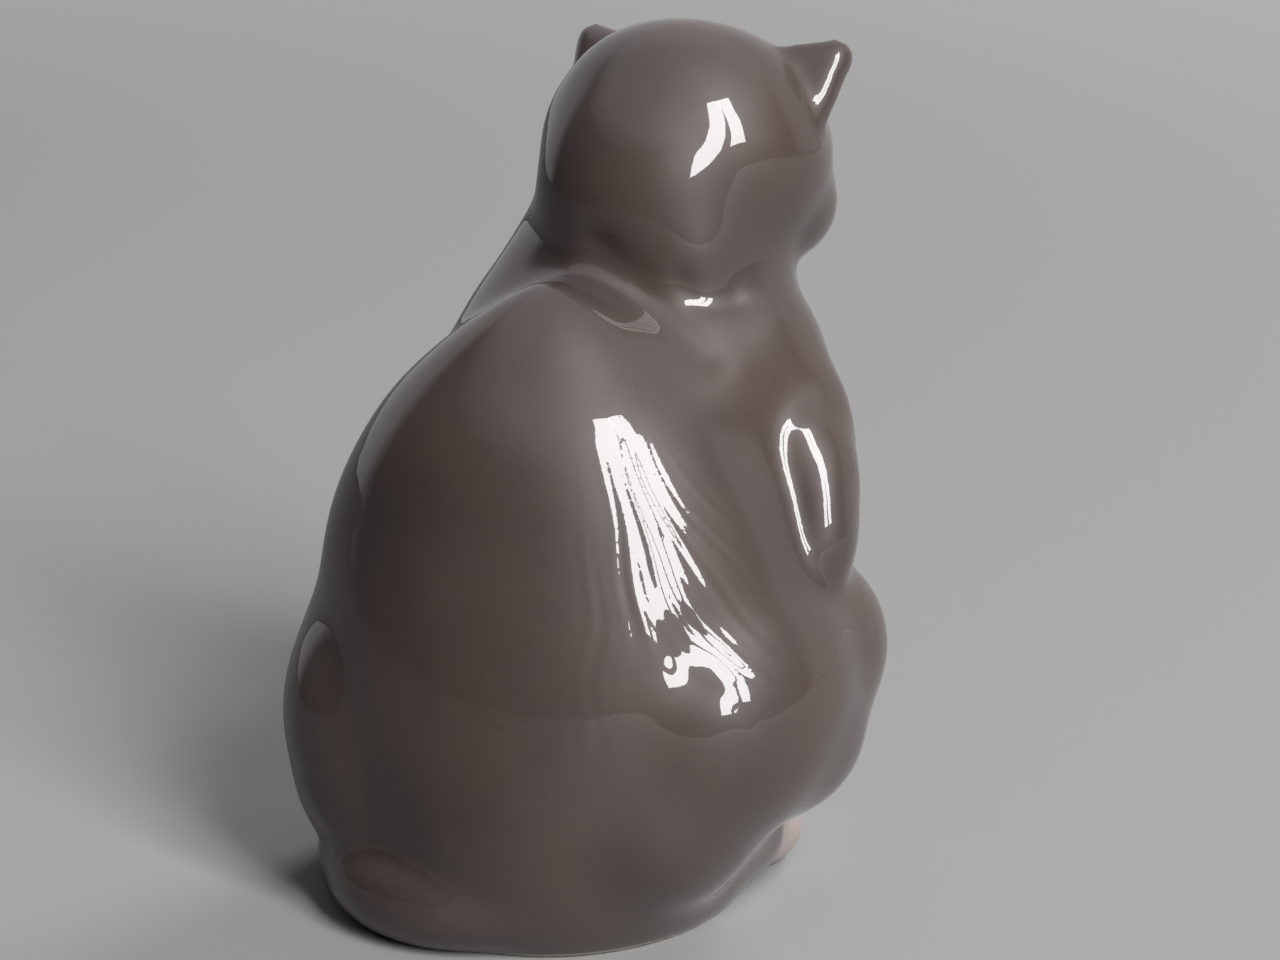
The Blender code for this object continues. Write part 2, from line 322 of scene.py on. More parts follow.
# Upper lid, lower lid, brow, the line under the nose, half the mouth and a nostril, on the cat's
# left half of the face, and mirrored
FACE_STROKES = (
    Stroke(
        points=(
            (0.0062, -0.0008),
            (0.0088, 0.0030),
            (0.0122, 0.0056),
            (0.0158, 0.0060),
            (0.0188, 0.0040),
        ),
        width=0.00060,
        depth=0.00060,
    ),
    Stroke(
        points=(
            (0.0062, -0.0008),
            (0.0090, -0.0028),
            (0.0126, -0.0036),
            (0.0162, -0.0018),
            (0.0188, 0.0036),
        ),
        width=0.00055,
        depth=0.00045,
    ),
    Stroke(
        points=((0.0068, 0.0026), (0.0096, 0.0064), (0.0134, 0.0086), (0.0176, 0.0084)),
        width=0.00080,
        depth=0.00022,
    ),
    Stroke(points=((0, -0.0086), (0, -0.0104), (0.0006, -0.0124)), width=0.00050, depth=0.00050),
    Stroke(
        points=((0.0004, -0.0124), (0.0026, -0.0152), (0.0056, -0.0166), (0.0088, -0.0156)),
        width=0.00055,
        depth=0.00055,
    ),
    Stroke(points=((0.0010, -0.0052), (0.0023, -0.0056), (0.0026, -0.0066)), width=0.00045, depth=0.00040),
)

# The lines between the toes: how far each stands to the side, where it starts as a share of that,
# its heights, width and depth, and the tilt and height from which a paw is looked at
TOE_GAPS = (-0.0050, 0.0, 0.0050)
TOE_LINE_START = 0.8
TOE_LINE_HEIGHTS = (0.0080, 0.0030, -0.0040)
TOE_LINE_WIDTH = 0.00085
TOE_LINE_DEPTH = 0.00095
PAW_VIEW_TILT = -38.0
PAW_VIEW_HEIGHT = 0.004

# How far in front of its frame a drawn line is looked from, how far that look goes, how close
# together the points are, and how many widths away a line is still felt
VIEW_DISTANCE = 0.04
VIEW_REACH = 0.12
STROKE_STEP = 0.0006
FOLD_STEP = 0.001
WIDTHS_FELT = 3

# The flutes of the coat, over the turn round the cat in degrees (180 is behind it) or over z:
# the way round the back, how the lines lean, how tall the fluted stretch is and how far round it
# reaches. Each wobble is a size, radians up a metre and round a degree, and a start. Each wave is a
# share, and radians across and up a metre.
FLUTE_DEPTH = 0.00016
FLUTE_MIDDLE_Y = 0.002
FLUTE_WAY_ROUND = ((90, 215, 300), (-0.092, 0.013, 0.085))
FLUTE_LEAN = 0.7
FLUTE_LEANS_OVER = ((218, 240), (0, 1))
FLUTE_LEANS_FROM_Z = 0.075
FLUTE_WOBBLES = ((0.0012, 120, 0.0, 1.3), (0.0008, 270, 0.11, 0.0))
FLUTE_LEVEL = 0.5
FLUTE_WAVES = ((0.3, 1150, 0), (0.2, 1830, 90))
FLUTE_HEIGHTS = ((0.040, 0.060, 0.082, 0.108), (0, 1, 0.75, 0))
FLUTE_REACHES = ((204, 220, 245, 262), (0, 1, 1, 0))

# Colours of the glaze, the paint on it and the bare clay
BROWN = (0.074, 0.052, 0.046, 1)
DEEP_BROWN = (0.034, 0.023, 0.020, 1)
WARM_BROWN = (0.090, 0.058, 0.048, 1)
PALE = (0.50, 0.40, 0.37, 1)
PINK = (0.44, 0.20, 0.18, 1)
LINE = (0.012, 0.009, 0.008, 1)
IRIS_RIM = (0.30, 0.30, 0.05, 1)
IRIS_HEART = (0.48, 0.40, 0.06, 1)
BISQUE = (0.56, 0.51, 0.46, 1)

# Grain of the glaze, as noise scale and detail, with the steps at which it shows
CLOUDS = (38.0, 3.0)
CLOUD_STEP = (0.35, 0.72)
SPECKS = (900.0, 1.0)
SPECK_STEP = (0.62, 0.75)
SPECK_STRENGTH = 0.22
RAGGED_EDGE = (260.0, 3.0)
RAGGED_WIDTH = 0.5
POOLED_STRENGTH = 0.85

# Where the glaze is pale. The paws are given for the left, the muzzle in the head's frame.
FORE_PAW_PAINT = Oval(at=FORE_PAW.at, reach=(0.0130, 0.0160, 0.0130))
HIND_PAW_PAINT = Oval(at=HIND_PAW.at, reach=(0.0125, 0.0160, 0.0125))
PAW_EDGE = (0.0, 0.35)
PAW_RAGGEDNESS = 0.5
BIB = Oval(at=(-0.002, -0.050, 0.105), reach=(0.021, 0.030, 0.034))
BIB_STRENGTH = 0.8
MUZZLE_PAINT = Oval(at=(0.0, -0.034, -0.0130), reach=(0.0150, 0.016, 0.0120))
PALE_EDGE = (0.0, 0.9)
PALE_STRENGTH = 0.85

# The painted eye, nose and ear, in the head's frame
EYE_SLANT = 14.0
EYE_PAINT_RISE = 0.0003
LID_HALF_WIDTH = 0.0066
LID_HALF_HEIGHT = 0.0040
LID_EDGE = (0.0, 0.0003)
LID_LINE = (-0.0007, -0.0003)
EYE_IN_FRONT_OF_Y = -0.016
EYE_FADE = (0.0, 0.002)
PUPIL_HALF_WIDTH = 0.0010
PUPIL_HALF_HEIGHT = 0.0033
PUPIL_EDGE = (1.25, 0.8)
IRIS_FADE = (0.0014, 0.0040)
IRIS_EDGE = (0.0041, 0.0046)
NOSE_PAINT = Oval(at=(0.0, -0.0385, -0.0056), reach=(0.0040, 0.0040, 0.0027))
NOSE_EDGE = (0.0, 0.35)
EAR_PAINT = Oval(at=(0.0238, -0.0058, 0.0165), reach=(0.0062, 0.0030, 0.0085))
EAR_EDGE = (0.0, 0.6)
EAR_STRENGTH = 0.7

# How glossy it is: the coloured body, how that drifts, the clear coat, its ripple, and the clay
# below the line at which the glaze was wiped off
BODY_ROUGHNESS = 0.46
ROUGHNESS_DRIFT = 0.12
DRIFT_GRAIN = 55.0
GLAZE_IOR = 1.5
BODY_SPECULAR = 0.65
COAT_ROUGHNESS = 0.02
RIPPLE_GRAIN = (130.0, 1.0)
RIPPLE_STRENGTH = 0.25
RIPPLE_HEIGHT = 0.0003
CLAY_ROUGHNESS = 0.8
WIPED_BELOW = (0.0010, 0.0006)

# The pale cloth: what falls back from it, what is seen of it, a painted shade on it on the far side
# from the window that only the glaze's gloss shows, and where it runs into the background
BACKGROUND = (0.44, 0.44, 0.436, 1)
CLOTH_FALLING = (0.14, 0.14, 0.137, 1)
CLOTH_SEEN = (0.43, 0.43, 0.426, 1)
# Painted shade: the cloth's colour on the far side from the window, seen only in the glaze's gloss
CLOTH_PAINTED_SHADE = (0.17, 0.17, 0.168, 1)
CLOTH_ROUGHNESS = 0.9
PAINTED_SHADE_OVER = (0.0, 0.10)
MELTS_OVER = (0.6, 3.0)
FLOOR_RADIUS = 6.0
FLOOR_DROP = 0.0002

# The room: dark up to a height, a pale ceiling over it, a pale wall in front of the cat, and the
# share of it all that lights the cat
ROOM_LOW = (0.03, 0.03, 0.03, 1)
CEILING = (0.56, 0.56, 0.575, 1)
CEILING_OVER = (0.55, 0.72)
WALL_AZIMUTH = 13.0
WALL_OVER = (0.24, 0.42)
WALL_LEVEL = 0.45
FALLING_SHARE = 0.25

# A window of two panes to the right of the camera, and a weak soft fill for the front
LIGHT_DISTANCE = 4.0
WINDOW_PANES = (
    Pane("window left pane", azimuth=235, elevation=34, width=0.64, height=2.6, power=88),
    Pane("window right pane", azimuth=248, elevation=34, width=0.64, height=2.6, power=88),
)
FILL = Pane("soft fill", azimuth=350, elevation=28, width=1.6, height=1.6, power=80)

# The camera, as the photograph was taken
CAMERA_AZIMUTH = 207.0
CAMERA_ELEVATION = 15.0
CAMERA_DISTANCE = 0.650
CAMERA_LOOKS_AT = Vector((-0.0104, 0.0035, 0.0870))
SENSOR_WIDTH = 36.0
FRAME_WIDTH_AT_CAT = 0.2624


def mirrored(mass):
    """The same mass on the cat's other side."""
    x, y, z = mass.at
    return Mass((-x, y, z), mass.size, mass.nod, -mass.roll)


def add_mass(bm, mass, frame=None):
    """Adds a mass to bm as an ellipsoid."""
    nod = Matrix.Rotation(math.radians(mass.nod), 4, "X")
    roll = Matrix.Rotation(math.radians(-mass.roll), 4, "Y")
    matrix = Matrix.Translation(mass.at) @ (nod @ roll) @ Matrix.Diagonal((*mass.size, 1))
    bmesh.ops.create_icosphere(bm, subdivisions=4, radius=0.5, matrix=(frame or Matrix()) @ matrix)


def add_pair(bm, mass, frame=None):
    add_mass(bm, mass, frame)
    add_mass(bm, mirrored(mass), frame)


def smooth_line(stations, step):
    """Stations read off a Catmull-Rom curve through the given ones, at most a step apart."""
    points = [Vector(p) for p in stations]
    points = [2 * points[0] - points[1], *points, 2 * points[-1] - points[-2]]
    line = []
    for before, start, end, after in zip(points, points[1:], points[2:], points[3:]):
        count = max(1, math.ceil((end - start).length / step))
        for i in range(count):
            t = i / count
            line.append(
                0.5
                * (
                    2 * start
                    + (end - before) * t
                    + (2 * before - 5 * start + 4 * end - after) * t * t
                    + (3 * start - before - 3 * end + after) * t * t * t
                )
            )
    return line + [points[-2]]


def add_loft(bm, sections, sides=64):
    """Adds a closed skin through level oval sections to bm."""
    rings = []
    for z, x, y, half_width, half_depth in smooth_line(sections, step=RING_STEP):
        turns = [2 * math.pi * i / sides for i in range(sides)]
        points = [(x + half_width * math.cos(t), y + half_depth * math.sin(t), z) for t in turns]
        rings.append([bm.verts.new(point) for point in points])
    for lower, upper in zip(rings, rings[1:]):
        for i in range(sides):
            j = (i + 1) % sides
            bm.faces.new((lower[i], lower[j], upper[j], upper[i]))
    bm.faces.new(reversed(rings[0]))
    bm.faces.new(rings[-1])


def add_limb(bm, stations, side=1):
    """Adds a limb to bm as a run of close balls along a smooth line."""
    for x, y, z, radius in smooth_line(stations, step=BALL_STEP):
        matrix = Matrix.Translation((side * x, y, z))
        bmesh.ops.create_icosphere(bm, subdivisions=3, radius=radius, matrix=matrix)


def settle(obj):
    """Replaces an object's mesh by what its modifiers make of it."""
    graph = bpy.context.evaluated_depsgraph_get()
    mesh = bpy.data.meshes.new_from_object(obj.evaluated_get(graph))
    obj.modifiers.clear()
    obj.data = mesh
    return obj


def make_object(name, bm):
    mesh = bpy.data.meshes.new(name)
    bm.to_mesh(mesh)
    bm.free()
    obj = bpy.data.objects.new(name, mesh)
    bpy.context.scene.collection.objects.link(obj)
    return obj


def fuse(name, bm, voxel, passes):
    """An object whose skin wraps all the shapes in bm, smoothed where they meet."""
    obj = make_object(name, bm)
    wrap = obj.modifiers.new("wrap", "REMESH")
    wrap.mode = "VOXEL"
    wrap.voxel_size = voxel
    melt = obj.modifiers.new("melt", "SMOOTH")
    melt.factor = SMOOTHING
    melt.iterations = passes
    return settle(obj)


def cut(obj, cutter):
    """Cuts one object out of another, and drops the cutter."""
    cuts = obj.modifiers.new("cut", "BOOLEAN")
    cuts.operation = "DIFFERENCE"
    cuts.solver = "EXACT"
    cuts.object = cutter
    settle(obj)
    bpy.data.objects.remove(cutter)
    return obj


def add_clay(bm, obj):
    """Adds an object's skin to bm, and drops the object."""
    bm.from_mesh(obj.data)
    bpy.data.objects.remove(obj)


def clay_from(obj):
    bm = bmesh.new()
    add_clay(bm, obj)
    return bm


def make_hull(name, balls, frame, side):
    """The convex hull of some balls."""
    bm = bmesh.new()
    for x, y, z, radius in balls:
        matrix = frame @ Matrix.Translation((side * x, y, z))
        bmesh.ops.create_icosphere(bm, subdivisions=3, radius=radius, matrix=matrix)
    made = bmesh.ops.convex_hull(bm, input=bm.verts)
    inside = [e for e in made["geom_interior"] if isinstance(e, bmesh.types.BMVert)]
    bmesh.ops.delete(bm, geom=inside, context="VERTS")
    return make_object(name, bm)


def make_drum(name, at, half_width, half_depth, bottom, top, sides=48):
    """An upright oval drum."""
    bm = bmesh.new()
    middle = Matrix.Translation((*at, (bottom + top) / 2))
    size = Matrix.Diagonal((half_width, half_depth, top - bottom, 1))
    bmesh.ops.create_cone(
        bm, cap_ends=True, segments=sides, radius1=1, radius2=1, depth=1, matrix=middle @ size
    )
    return make_object(name, bm)


def make_table(top):
    """A broad block under all of the figure, up to a height."""
    return make_drum("table", VENT_AT, TABLE_HALF_WIDTH, TABLE_HALF_WIDTH, TABLE_BOTTOM, top, sides=4)


def model_trunk(frame):
    bm = bmesh.new()
    add_loft(bm, BACK)
    add_loft(bm, NECK)
    for mass in (SHOULDER, UPPER_ARM, RUMP, HAUNCH, THIGH, KNEE):
        add_pair(bm, mass)
    for mass in (LEFT_RUMP, LEFT_HIP):
        add_mass(bm, mass)
    for mass in (SKULL, NAPE, CROWN):
        add_mass(bm, mass, frame)
    return fuse("trunk", bm, TRUNK_VOXEL, TRUNK_PASSES)


def model_limbs(trunk, frame):
    bm = clay_from(trunk)
    for side in (1, -1):
        add_limb(bm, FORELEG, side)
        add_limb(bm, HIND_FOOT, side)
    add_limb(bm, TAIL)
    add_pair(bm, ELBOW)
    for mass in (BROW, SNOUT, NOSE_BRIDGE):
        add_mass(bm, mass, frame)
    add_pair(bm, CHEEK, frame)
    return fuse("limbs", bm, LIMB_VOXEL, LIMB_PASSES)


def model_features(limbs, frame):
    bm = clay_from(limbs)
    for mass in (FORE_PAW, HIND_PAW):
        add_pair(bm, mass)
    for mass in (MUZZLE, EYE):
        add_pair(bm, mass, frame)
    for mass in (NOSE, CHIN):
        add_mass(bm, mass, frame)
    for side in (1, -1):
        ear = make_hull("ear", EAR, frame, side)
        add_clay(bm, cut(ear, make_hull("ear hollow", EAR_HOLLOW, frame, side)))
    return fuse("features", bm, FEATURE_VOXEL, FEATURE_PASSES)


def head_frame():
    turn = Matrix.Rotation(math.radians(-HEAD_TURN), 4, "Z")
    nod = Matrix.Rotation(math.radians(HEAD_NOD), 4, "X")
    return Matrix.Translation(HEAD_AT) @ turn @ nod


def model_hollow(trunk):
    """What the drained slip leaves empty: the trunk, a wall's thickness inside its skin."""
    hollow = bpy.data.objects.new("hollow", trunk.data.copy())
    bpy.context.scene.collection.objects.link(hollow)
    inset = hollow.modifiers.new("inset", "DISPLACE")
    inset.mid_level = 0
    inset.strength = -WALL
    wrap = hollow.modifiers.new("wrap", "REMESH")
    wrap.mode = "VOXEL"
    wrap.voxel_size = TRUNK_VOXEL
    settle(hollow)
    thin = hollow.modifiers.new("thin", "DECIMATE")
    thin.ratio = MAX_INNER_FACES / (2 * len(hollow.data.polygons))
    settle(hollow)
    return cut(hollow, make_table(FOOT_RECESS + WALL))


def open_foot(cat, hollow):
    """Flattens the foot and cuts its recess, the cast hollow and the vent."""
    cut(cat, make_table(0))
    _, x, y, half_width, half_depth = FOOT_SECTION
    opening = (half_width - FOOT_RING_WIDTH, half_depth - FOOT_RING_WIDTH)
    cut(cat, make_drum("recess", (x, y), *opening, UNDER_FOOT, FOOT_RECESS))
    cut(cat, hollow)
    vent = VENT_DIAMETER / 2
    top = FOOT_RECESS + WALL + VENT_OVERRUN
    cut(cat, make_drum("vent", VENT_AT, vent, vent, UNDER_FOOT, top, sides=24))


def refine(obj, frame, patch):
    """Splits the faces of a patch, and rounds off what was split."""
    into = frame.inverted()
    bm = bmesh.new()
    bm.from_mesh(obj.data)
    for _ in range(patch.rounds):
        near = set()
        for vert in bm.verts:
            way = into @ vert.co - Vector(patch.at)
            if sum((w / r) ** 2 for w, r in zip(way, patch.reach)) < 1:
                near.add(vert)
        edges = [edge for edge in bm.edges if edge.verts[0] in near and edge.verts[1] in near]
        made = bmesh.ops.subdivide_edges(bm, edges=edges, cuts=1, use_grid_fill=True)
        fresh = [e for e in made["geom"] if isinstance(e, bmesh.types.BMVert)]
        for _ in range(PATCH_PASSES):
            bmesh.ops.smooth_vert(
                bm, verts=fresh, factor=SMOOTHING, use_axis_x=True, use_axis_y=True, use_axis_z=True
            )
    bm.to_mesh(obj.data)
    bm.free()


def read_points(mesh):
    points = np.empty(len(mesh.vertices) * 3, dtype=np.float32)
    mesh.vertices.foreach_get("co", points)
    return points.reshape(-1, 3).astype(float)


def skin_of(obj):
    """The points and the normals of an object's skin, as arrays."""
    count = len(obj.data.vertices)
    normals = np.empty(count * 3, dtype=np.float32)
    obj.data.vertices.foreach_get("normal", normals)
    return read_points(obj.data), normals.reshape(-1, 3).astype(float)


def write_points(obj, points):
    obj.data.vertices.foreach_set("co", points.astype(np.float32).ravel())
    obj.data.update()


def trace(tree, frame, stroke, side=1):
    """Lays a stroke on the skin, looking along the frame's +y, as points close together."""
    towards = (frame.to_3x3() @ Vector((0, 1, 0))).normalized()
    line = []
    for x, z in smooth_line(stroke.points, step=STROKE_STEP):
        start = frame @ Vector((side * x, -VIEW_DISTANCE, z))
        hit = tree.ray_cast(start, towards, VIEW_REACH)[0]
        if hit is not None:
            line.append(hit)
    return np.array(line)


def nearness(points, line, width):
    """1 on a line, falling off as a bell to 0 some widths away from it."""
    margin = WIDTHS_FELT * width
    low, high = line.min(axis=0) - margin, line.max(axis=0) + margin
    close = np.flatnonzero(((points > low) & (points < high)).all(axis=1))
    away = np.linalg.norm(points[close, None] - line[None], axis=2).min(axis=1)
    result = np.zeros(len(points))
    result[close] = np.exp(-((away / width) ** 2))
    return result


def lay_strokes(cat, head):
    """Each drawn line on the skin, with its width and depth."""
    tree = BVHTree.FromPolygons(
        [vert.co for vert in cat.data.vertices], [list(p.vertices) for p in cat.data.polygons]
    )
    laid = []
    for side in (1, -1):
        for stroke in FACE_STROKES:
            laid.append((trace(tree, head, stroke, side), stroke.width, stroke.depth))
        for paw in (FORE_PAW, HIND_PAW):
            x, y, _ = paw.at
            tilt = Matrix.Rotation(math.radians(PAW_VIEW_TILT), 4, "X")
            view = Matrix.Translation((side * x, y, PAW_VIEW_HEIGHT)) @ tilt
            for gap in TOE_GAPS:
                points = tuple(zip((gap * TOE_LINE_START, gap, gap), TOE_LINE_HEIGHTS))
                line = Stroke(points, TOE_LINE_WIDTH, TOE_LINE_DEPTH)
                laid.append((trace(tree, view, line), line.width, line.depth))
    return [row for row in laid if len(row[0])]


def flutes(points):
    """How far each point sinks in the shallow flutes of the coat, which run down the back."""
    x, y, z = points.T
    turn = np.degrees(np.arctan2(x, FLUTE_MIDDLE_Y - y)) % 360
    across = np.interp(turn, *FLUTE_WAY_ROUND)
    across += FLUTE_LEAN * np.interp(turn, *FLUTE_LEANS_OVER) * (z - FLUTE_LEANS_FROM_Z)
    for size, upward, around, start in FLUTE_WOBBLES:
        across += size * np.sin(upward * z + around * turn + start)
    wave = FLUTE_LEVEL
    for share, sideways, upward in FLUTE_WAVES:
        wave = wave + share * np.cos(sideways * across + upward * z)
    return FLUTE_DEPTH * wave * np.interp(z, *FLUTE_HEIGHTS) * np.interp(turn, *FLUTE_REACHES)


def sculpt(cat, head):
    """Works the dabs, folds, flutes and drawn lines into the skin, and gives the lines as laid."""
    points, normals = skin_of(cat)
    for dab in DABS:
        away = np.linalg.norm(points - dab.at, axis=1)
        points += normals * (dab.rise * np.exp(-((away / dab.width) ** 2)))[:, None]
    for fold in FOLDS:
        line = np.array(smooth_line(fold.points, step=FOLD_STEP))
        points -= normals * (fold.depth * nearness(points, line, fold.width))[:, None]
    write_points(cat, points)
    points, normals = skin_of(cat)
    points -= normals * flutes(points)[:, None]
    write_points(cat, points)
    laid = lay_strokes(cat, head)
    sunk = np.zeros(len(points))
    for line, width, depth in laid:
        sunk = np.maximum(sunk, depth * nearness(points, line, width))
    points -= normals * sunk[:, None]
    write_points(cat, points)
    return laid


def mark_grooves(cat, laid, move):
    """Notes on the skin where the glaze pools in a drawn line."""
    points = read_points(cat.data)
    pooled = np.zeros(len(points))
    matrix = np.array(move)
    for line, width, _ in laid:
        moved = line @ matrix[:3, :3].T + matrix[:3, 3]
        pooled = np.maximum(pooled, nearness(points, moved, width))
    grooves = cat.data.attributes.new("groove", "FLOAT", "POINT")
    grooves.data.foreach_set("value", pooled.astype(np.float32))


def fit_to_solid(obj):
    """Lays an object in the solid's own box, and gives the move that did it."""
    low, high = (np.array(corner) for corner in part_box("cat"))
    points = read_points(obj.data)
    own_low, own_high = points.min(axis=0), points.max(axis=0)
    scale = (high - low) / (own_high - own_low)
    move = Matrix.Translation(low) @ Matrix.Diagonal((*scale, 1)) @ Matrix.Translation(-own_low)
    obj.data.transform(move)
    return move


def direction(azimuth, elevation):
    """The way from the cat to something: azimuth 0 is in front of it, 180 behind, in degrees."""
    a, e = math.radians(azimuth), math.radians(elevation)
    return Vector((math.sin(a) * math.cos(e), -math.cos(a) * math.cos(e), math.sin(e)))


class Wires:
    """Adds shader nodes to what owns a node tree, and joins them up."""

    def __init__(self, owner):
        owner.use_nodes = True
        self.nodes = owner.node_tree.nodes
        self.links = owner.node_tree.links

    def put(self, value, socket):
        """A socket's input is either another node's output or a plain value."""
        if isinstance(value, bpy.types.NodeSocket):
            self.links.new(value, socket)
        else:
            socket.default_value = value

    def add(self, kind, sockets, **settings):
        """A new node with its settings made, and its sockets filled by name or number."""
        node = self.nodes.new("ShaderNode" + kind)
        for name, value in settings.items():
            setattr(node, name, value)
        for socket, value in sockets.items():
            self.put(value, node.inputs[socket])
        return node

    def place(self, kind="Object"):
        return self.add("TexCoord", {}).outputs[kind]

    def ray(self, kind):
        """1 for rays of one kind, Camera or Glossy, and 0 for others."""
        return self.add("LightPath", {}).outputs["Is " + kind + " Ray"]

    def seen(self):
        """1 for what the camera sees, also in the glaze's gloss, and 0 for light that only falls."""
        return self.maths("MAXIMUM", self.ray("Camera"), self.ray("Glossy"))

    def maths(self, operation, *values):
        return self.add("Math", dict(enumerate(values)), operation=operation).outputs[0]

    def times(self, first, second):
        return self.maths("MULTIPLY", first, second)

    def times_plus(self, first, second, third):
        return self.maths("MULTIPLY_ADD", first, second, third)

    def rise(self, value, low, high, top=1.0, step="SMOOTHSTEP"):
        """0 below low and the top above high."""
        sockets = {"Value": value, "From Min": low, "From Max": high, "To Max": top}
        return self.add("MapRange", sockets, interpolation_type=step).outputs["Result"]

    def mix(self, amount, first, second, blend="MIX"):
        sockets = {"Factor": amount, 6: first, 7: second}
        return self.add("Mix", sockets, data_type="RGBA", blend_type=blend).outputs[2]

    def noise(self, place, scale, detail=2.0):
        sockets = {"Vector": place, "Scale": scale, "Detail": detail}
        return self.add("TexNoise", sockets).outputs["Fac"]

    def reach(self, place, way):
        """How far a place lies along a way."""
        return self.add("VectorMath", {0: place, 1: way}, operation="DOT_PRODUCT").outputs["Value"]

    def along(self, place, matrix, axis):
        """A point's distance along one axis of a frame."""
        row = matrix.inverted()[axis]
        return self.maths("ADD", self.reach(place, row[:3]), row[3])

    def blob(self, point, oval):
        """1 at the middle of an oval region, 0 at its rim, less beyond."""
        total = 0.0
        for value, middle, half in zip(point, oval.at, oval.reach):
            share = self.maths("DIVIDE", self.maths("SUBTRACT", value, middle), half)
            total = self.times_plus(share, share, total)
        return self.maths("SUBTRACT", 1.0, total)


def paint_body(wires, place, figure, head):
    """The grey-brown glaze, warmer in places, darker in the lines, pale at paws, breast and muzzle."""
    x, y, z = figure
    cloud = wires.rise(wires.noise(place, *CLOUDS), *CLOUD_STEP)
    speck = wires.rise(wires.noise(place, *SPECKS), *SPECK_STEP)
    colour = wires.mix(cloud, BROWN, WARM_BROWN)
    colour = wires.mix(wires.times(speck, SPECK_STRENGTH), colour, DEEP_BROWN)
    ragged = wires.times_plus(wires.noise(place, *RAGGED_EDGE), RAGGED_WIDTH, -RAGGED_WIDTH / 2)
    left = (wires.maths("ABSOLUTE", x), y, z)
    paws = wires.maths("MAXIMUM", wires.blob(left, FORE_PAW_PAINT), wires.blob(left, HIND_PAW_PAINT))
    paws = wires.rise(wires.times_plus(ragged, PAW_RAGGEDNESS, paws), *PAW_EDGE)
    bib = wires.times(wires.blob(figure, BIB), BIB_STRENGTH)
    face = wires.maths("MAXIMUM", bib, wires.blob(head, MUZZLE_PAINT))
    face = wires.times(wires.rise(wires.maths("ADD", face, ragged), *PALE_EDGE), PALE_STRENGTH)
    colour = wires.mix(wires.maths("MAXIMUM", paws, face), colour, PALE)
    groove = wires.add("Attribute", {}, attribute_name="groove").outputs["Fac"]
    return wires.mix(wires.times(groove, POOLED_STRENGTH), colour, DEEP_BROWN)


def paint_eyes(wires, colour, left):
    """A dark lid line round a yellow-green eye with an upright pupil, slanted up to the outside."""
    side, depth, height = left
    out = wires.maths("SUBTRACT", side, EYE.at[0])
    up = wires.maths("SUBTRACT", height, EYE.at[2] + EYE_PAINT_RISE)
    cos, sin = math.cos(math.radians(EYE_SLANT)), math.sin(math.radians(EYE_SLANT))
    along = wires.times_plus(out, cos, wires.times(up, sin))
    over = wires.times_plus(up, cos, wires.times(out, -sin))
    part = wires.maths("DIVIDE", along, LID_HALF_WIDTH)
    arch = wires.maths("SUBTRACT", 1.0, wires.times(part, part))
    lid = wires.maths("SUBTRACT", wires.times(arch, LID_HALF_HEIGHT), wires.maths("ABSOLUTE", over))
    front = wires.rise(wires.maths("SUBTRACT", EYE_IN_FRONT_OF_Y, depth), *EYE_FADE)
    flat = wires.maths("DIVIDE", along, PUPIL_HALF_WIDTH)
    tall = wires.maths("DIVIDE", over, PUPIL_HALF_HEIGHT)
    slit = wires.times_plus(flat, flat, wires.times(tall, tall))
    away = wires.maths("SQRT", wires.times_plus(along, along, wires.times(over, over)))
    iris = wires.mix(wires.rise(away, *IRIS_FADE), IRIS_HEART, IRIS_RIM)
    iris = wires.mix(wires.rise(away, *IRIS_EDGE), iris, LINE)
    iris = wires.mix(wires.rise(slit, *PUPIL_EDGE), iris, LINE)
    colour = wires.mix(wires.times(wires.rise(lid, *LID_LINE), front), colour, LINE)
    return wires.mix(wires.times(wires.rise(lid, *LID_EDGE), front), colour, iris)


def paint_face(wires, colour, head):
    """The eyes, the nose and the insides of the ears, painted alike on both sides."""
    left = (wires.maths("ABSOLUTE", head[0]), head[1], head[2])
    colour = paint_eyes(wires, colour, left)
    colour = wires.mix(wires.rise(wires.blob(left, NOSE_PAINT), *NOSE_EDGE), colour, PINK)
    ear = wires.rise(wires.blob(left, EAR_PAINT), *EAR_EDGE)
    return wires.mix(wires.times(ear, EAR_STRENGTH), colour, PINK)


def glaze(move):
    """The grey-brown glaze: a coloured body under a clear glassy skin, bare clay at the foot."""
    material = bpy.data.materials.new("grey-brown glaze")
    wires = Wires(material)
    sockets = wires.nodes["Principled BSDF"].inputs
    place = wires.place()
    figure = [wires.along(place, move, axis) for axis in range(3)]
    head = [wires.along(place, move @ head_frame(), axis) for axis in range(3)]
    colour = paint_face(wires, paint_body(wires, place, figure, head), head)
    wiped = wires.rise(figure[2], *WIPED_BELOW)
    wires.put(wires.mix(wiped, colour, BISQUE), sockets["Base Color"])
    rough = wires.times_plus(wires.noise(place, DRIFT_GRAIN), ROUGHNESS_DRIFT, BODY_ROUGHNESS)
    rough = wires.maths("MAXIMUM", rough, wires.times(wiped, CLAY_ROUGHNESS))
    wires.put(rough, sockets["Roughness"])
    wires.put(wires.maths("SUBTRACT", 1.0, wiped), sockets["Coat Weight"])
    sockets["IOR"].default_value = GLAZE_IOR
    sockets["Specular IOR Level"].default_value = BODY_SPECULAR
    sockets["Coat Roughness"].default_value = COAT_ROUGHNESS
    height = wires.noise(place, *RIPPLE_GRAIN)
    ripple = wires.add("Bump", {"Strength": RIPPLE_STRENGTH, "Distance": RIPPLE_HEIGHT, "Height": height})
    wires.put(ripple.outputs["Normal"], sockets["Coat Normal"])
    wires.put(ripple.outputs["Normal"], sockets["Normal"])
    return material


